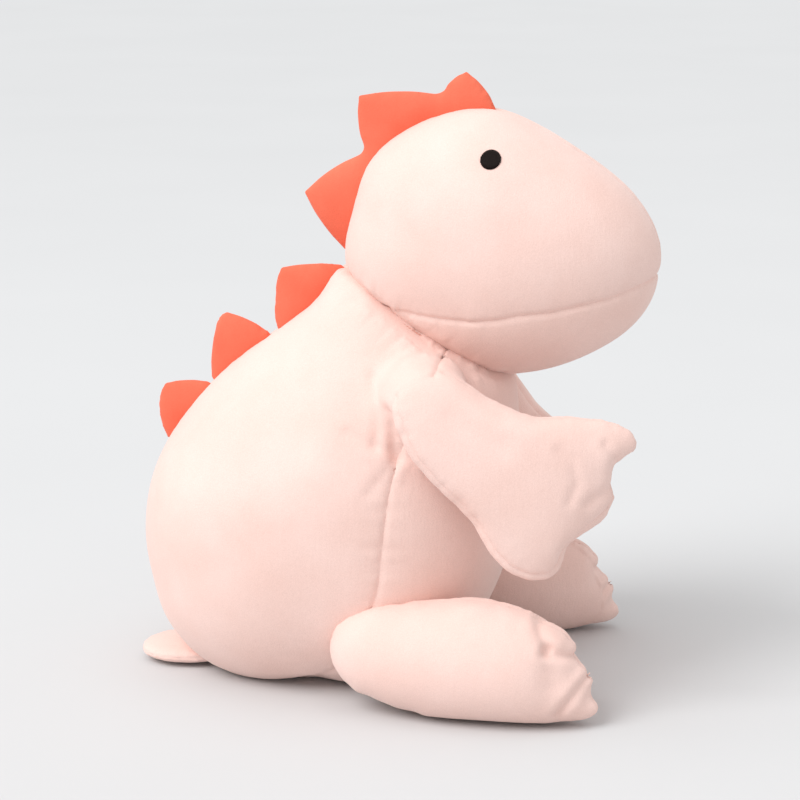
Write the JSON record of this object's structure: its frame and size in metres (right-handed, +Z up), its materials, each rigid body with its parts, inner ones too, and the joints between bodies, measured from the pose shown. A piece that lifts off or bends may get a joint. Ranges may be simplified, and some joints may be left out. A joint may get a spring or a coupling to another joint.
{
  "type": "stuffed dinosaur",
  "caption": "Seated stuffed dinosaur in soft velour, with a large head, stubby arms and legs, a flat tail and a row of padded fins down its back.",
  "frame": {"origin": "middle of the flat seat, on the surface that the toy sits on", "axes": "+X the way the toy faces, +Y to its left, +Z up"},
  "size_m": [0.3471, 0.2681, 0.3957],
  "materials": {
    "pink_velour": "short dense nap, pale pink",
    "coral_velour": "short dense nap, coral",
    "fibre_fill": "lofted white polyester fibre",
    "pouch_lining": "plain woven lining",
    "plastic_beans": "small loose pellets",
    "pink_thread": "twisted sewing thread",
    "black_thread": "satin-stitched embroidery"
  },
  "bodies": {
    "torso": {"belly_panel": "pink_velour", "body_side_right": "pink_velour", "body_side_left": "pink_velour", "body_stuffing": "fibre_fill", "bean_pouch": "pouch_lining", "bean_filling": "plastic_beans"},
    "neck": {"neck_stuffing": "fibre_fill", "neck_gather_thread": "pink_thread"},
    "head": {"chin_panel": "pink_velour", "head_side_right": "pink_velour", "head_side_left": "pink_velour", "head_stuffing": "fibre_fill", "crest_right_face": "coral_velour", "crest_left_face": "coral_velour", "crest_wadding": "fibre_fill", "eye_right": "black_thread", "eye_left": "black_thread"},
    "tail": {"tail_lower_panel": "pink_velour", "tail_upper_panel": "pink_velour", "tail_stuffing": "fibre_fill"},
    "arm_right": {"arm_right_outer_panel": "pink_velour", "arm_right_inner_panel": "pink_velour", "arm_right_stuffing": "fibre_fill"},
    "leg_right": {"leg_right_outer_panel": "pink_velour", "leg_right_inner_panel": "pink_velour", "leg_right_stuffing": "fibre_fill"},
    "arm_left": {"arm_left_outer_panel": "pink_velour", "arm_left_inner_panel": "pink_velour", "arm_left_stuffing": "fibre_fill"},
    "leg_left": {"leg_left_outer_panel": "pink_velour", "leg_left_inner_panel": "pink_velour", "leg_left_stuffing": "fibre_fill"},
    "fin_upper": {"fin_upper_right_face": "coral_velour", "fin_upper_left_face": "coral_velour", "fin_upper_wadding": "fibre_fill"},
    "fin_middle": {"fin_middle_right_face": "coral_velour", "fin_middle_left_face": "coral_velour", "fin_middle_wadding": "fibre_fill"},
    "fin_lower": {"fin_lower_right_face": "coral_velour", "fin_lower_left_face": "coral_velour", "fin_lower_wadding": "fibre_fill"}
  },
  "joints": [
    {"name": "head_nod", "type": "hinge", "parent": "torso", "child": "neck", "pos_m": [0.0665, 0, 0.237], "axis": [0, 1, 0], "range_deg": [-5, 10]},
    {"name": "head_turn", "type": "hinge", "parent": "neck", "child": "head", "pos_m": [0.0665, 0, 0.237], "axis": [0.5446, 0, 0.8387], "range_deg": [-25, 25]},
    {"name": "arm_right_swing", "type": "hinge", "parent": "torso", "child": "arm_right", "pos_m": [0.08, -0.097, 0.2], "axis": [0.2396, -0.9608, 0.1392], "range_deg": [-8, 25]},
    {"name": "arm_left_swing", "type": "hinge", "parent": "torso", "child": "arm_left", "pos_m": [0.08, 0.097, 0.2], "axis": [-0.2971, -0.9142, -0.2756], "range_deg": [-1, 35]},
    {"name": "leg_right_splay", "type": "hinge", "parent": "torso", "child": "leg_right", "pos_m": [0.05, -0.088, 0.038], "axis": [0, 0, -1], "range_deg": [-5, 30]},
    {"name": "leg_left_splay", "type": "hinge", "parent": "torso", "child": "leg_left", "pos_m": [0.05, 0.088, 0.038], "axis": [0, 0, 1], "range_deg": [-5, 8]},
    {"name": "tail_swing", "type": "hinge", "parent": "torso", "child": "tail", "pos_m": [-0.085, 0, 0.0069], "axis": [0, 0, 1], "range_deg": [-15, 15]},
    {"name": "fin_upper_bend", "type": "hinge", "parent": "torso", "child": "fin_upper", "pos_m": [-0.0085, 0, 0.2455], "axis": [0.7255, 0, 0.6883], "range_deg": [-17, 17], "stiffness_Nm_per_rad": 0.02},
    {"name": "fin_middle_bend", "type": "hinge", "parent": "torso", "child": "fin_middle", "pos_m": [-0.052, 0, 0.206], "axis": [0.7649, 0, 0.6441], "range_deg": [-17, 17], "stiffness_Nm_per_rad": 0.02},
    {"name": "fin_lower_bend", "type": "hinge", "parent": "torso", "child": "fin_lower", "pos_m": [-0.089, 0, 0.1685], "axis": [0.6034, 0, 0.7974], "range_deg": [-17, 17], "stiffness_Nm_per_rad": 0.02}
  ]
}
